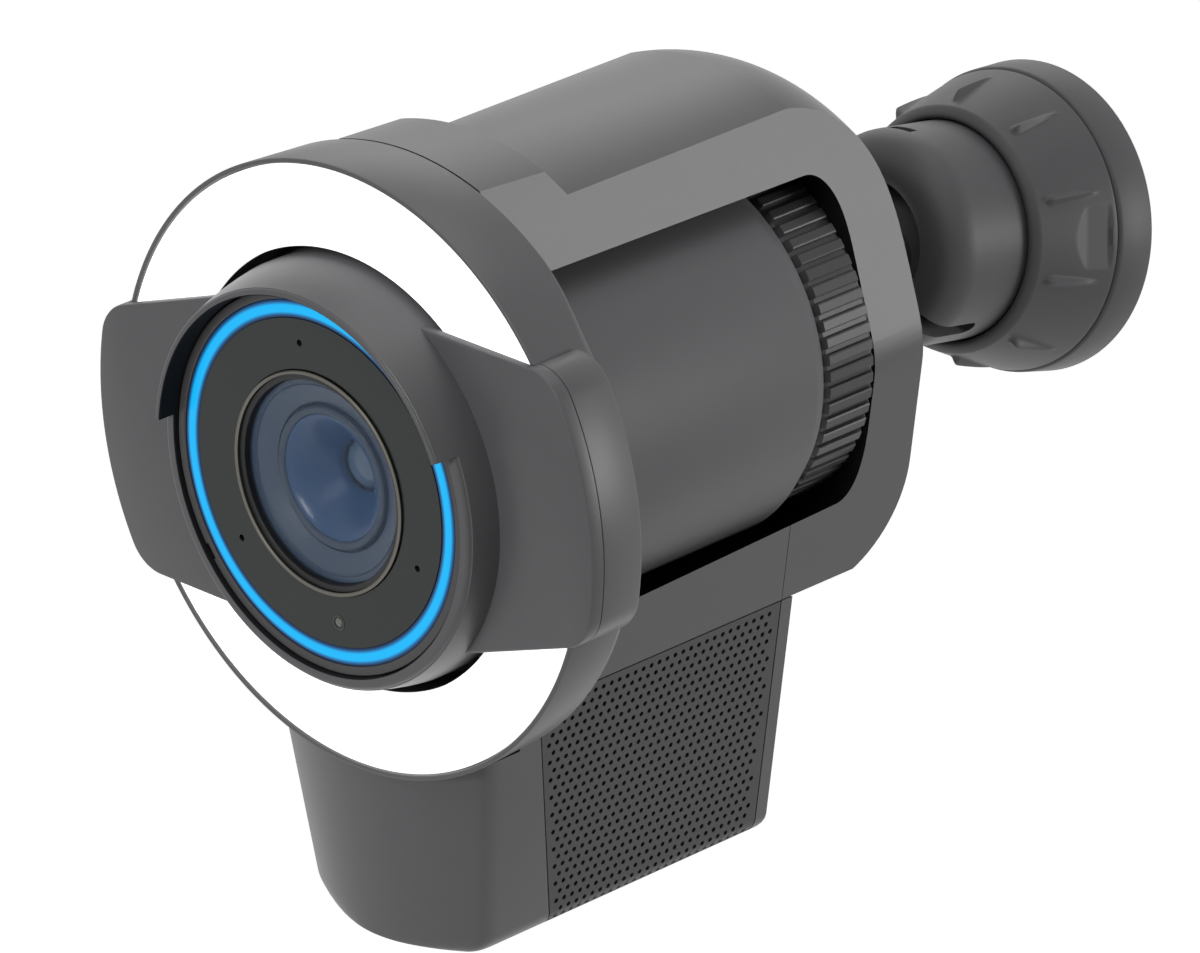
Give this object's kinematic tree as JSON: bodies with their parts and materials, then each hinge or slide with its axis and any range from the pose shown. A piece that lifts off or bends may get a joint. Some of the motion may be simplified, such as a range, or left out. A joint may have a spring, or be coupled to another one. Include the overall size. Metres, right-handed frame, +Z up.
{
  "type": "floodlight security camera",
  "caption": "Wall-mounted security camera with a ring floodlight round its lens barrel, a speaker box below and a ball mount that turns and tilts the head.",
  "frame": {"origin": "centre of the wall plate's rear face", "axes": "+Y into the wall, +Z up, the camera looks towards -Y and 10.1 degrees down"},
  "size_m": [0.1352, 0.2146, 0.1718],
  "materials": {
    "grey_housing": "fine satin, powder coated look",
    "grey_mount": "satin grey coat over a die casting",
    "dark_mesh": "matt, perforated",
    "black_plastic": "matt",
    "white_diffuser": "opal, lit",
    "light_guide": "lit blue",
    "dark_glass": "polished",
    "lens_glass": "coated, polished",
    "bare_metal": "turned",
    "steel": "plated",
    "rubber": "matt",
    "circuit_board": "solder mask"
  },
  "bodies": {
    "base": {"wall_plate": "grey_mount", "wall_screw_left": "steel", "wall_screw_right": "steel", "pressure_pad": "rubber"},
    "lock": {"lock_ring": "grey_mount"},
    "cup": {"ball_cup": "grey_mount"},
    "head": {"ball_stem": "grey_mount", "spindle_nut": "steel", "frame_shell": "grey_housing", "speaker_box": "grey_housing", "grille_left": "dark_mesh", "grille_right": "dark_mesh", "speaker_driver_left": "black_plastic", "speaker_driver_right": "black_plastic", "audio_board": "circuit_board", "light_ring": "grey_housing", "diffuser": "white_diffuser", "led_board": "circuit_board"},
    "camera": {"barrel_shell": "grey_housing", "rear_cap": "black_plastic", "front_trim": "grey_housing", "face_carrier": "grey_housing", "status_ring": "light_guide", "face_glass": "dark_glass", "light_sensor": "lens_glass", "lens_bezel": "bare_metal", "lens_tube": "black_plastic", "lens_window": "lens_glass", "image_board": "circuit_board", "main_board": "circuit_board", "heat_sink": "bare_metal", "network_socket": "black_plastic"},
    "coupling": {"coupling_ring": "grey_housing"},
    "zoom": {"zoom_cell": "lens_glass"}
  },
  "joints": [
    {"name": "lock_ring_turn", "type": "hinge", "parent": "base", "child": "lock", "pos_m": [0, 0, 0], "axis": [0, -1, 0], "range_deg": [-30, 90]},
    {"name": "mount_swivel", "type": "hinge", "parent": "base", "child": "cup", "pos_m": [0, 0, 0], "axis": [0, -1, 0], "range_deg": [-170, 170]},
    {"name": "head_tilt", "type": "hinge", "parent": "cup", "child": "head", "pos_m": [0, -0.0305, 0], "axis": [1, 0, 0], "range_deg": [-27, 6.5]},
    {"name": "camera_roll", "type": "hinge", "parent": "head", "child": "camera", "pos_m": [0, -0.0305, 0], "axis": [0, -0.9845, -0.1754], "range_deg": [-25, 5]},
    {"name": "coupling_turn", "type": "hinge", "parent": "camera", "child": "coupling", "pos_m": [0, -0.0305, 0], "axis": [0, -0.9845, -0.1754], "range_deg": [-60, 60]},
    {"name": "zoom_slide", "type": "slide", "parent": "camera", "child": "zoom", "axis": [0, -0.9845, -0.1754], "range_m": [0, 0.004]}
  ]
}
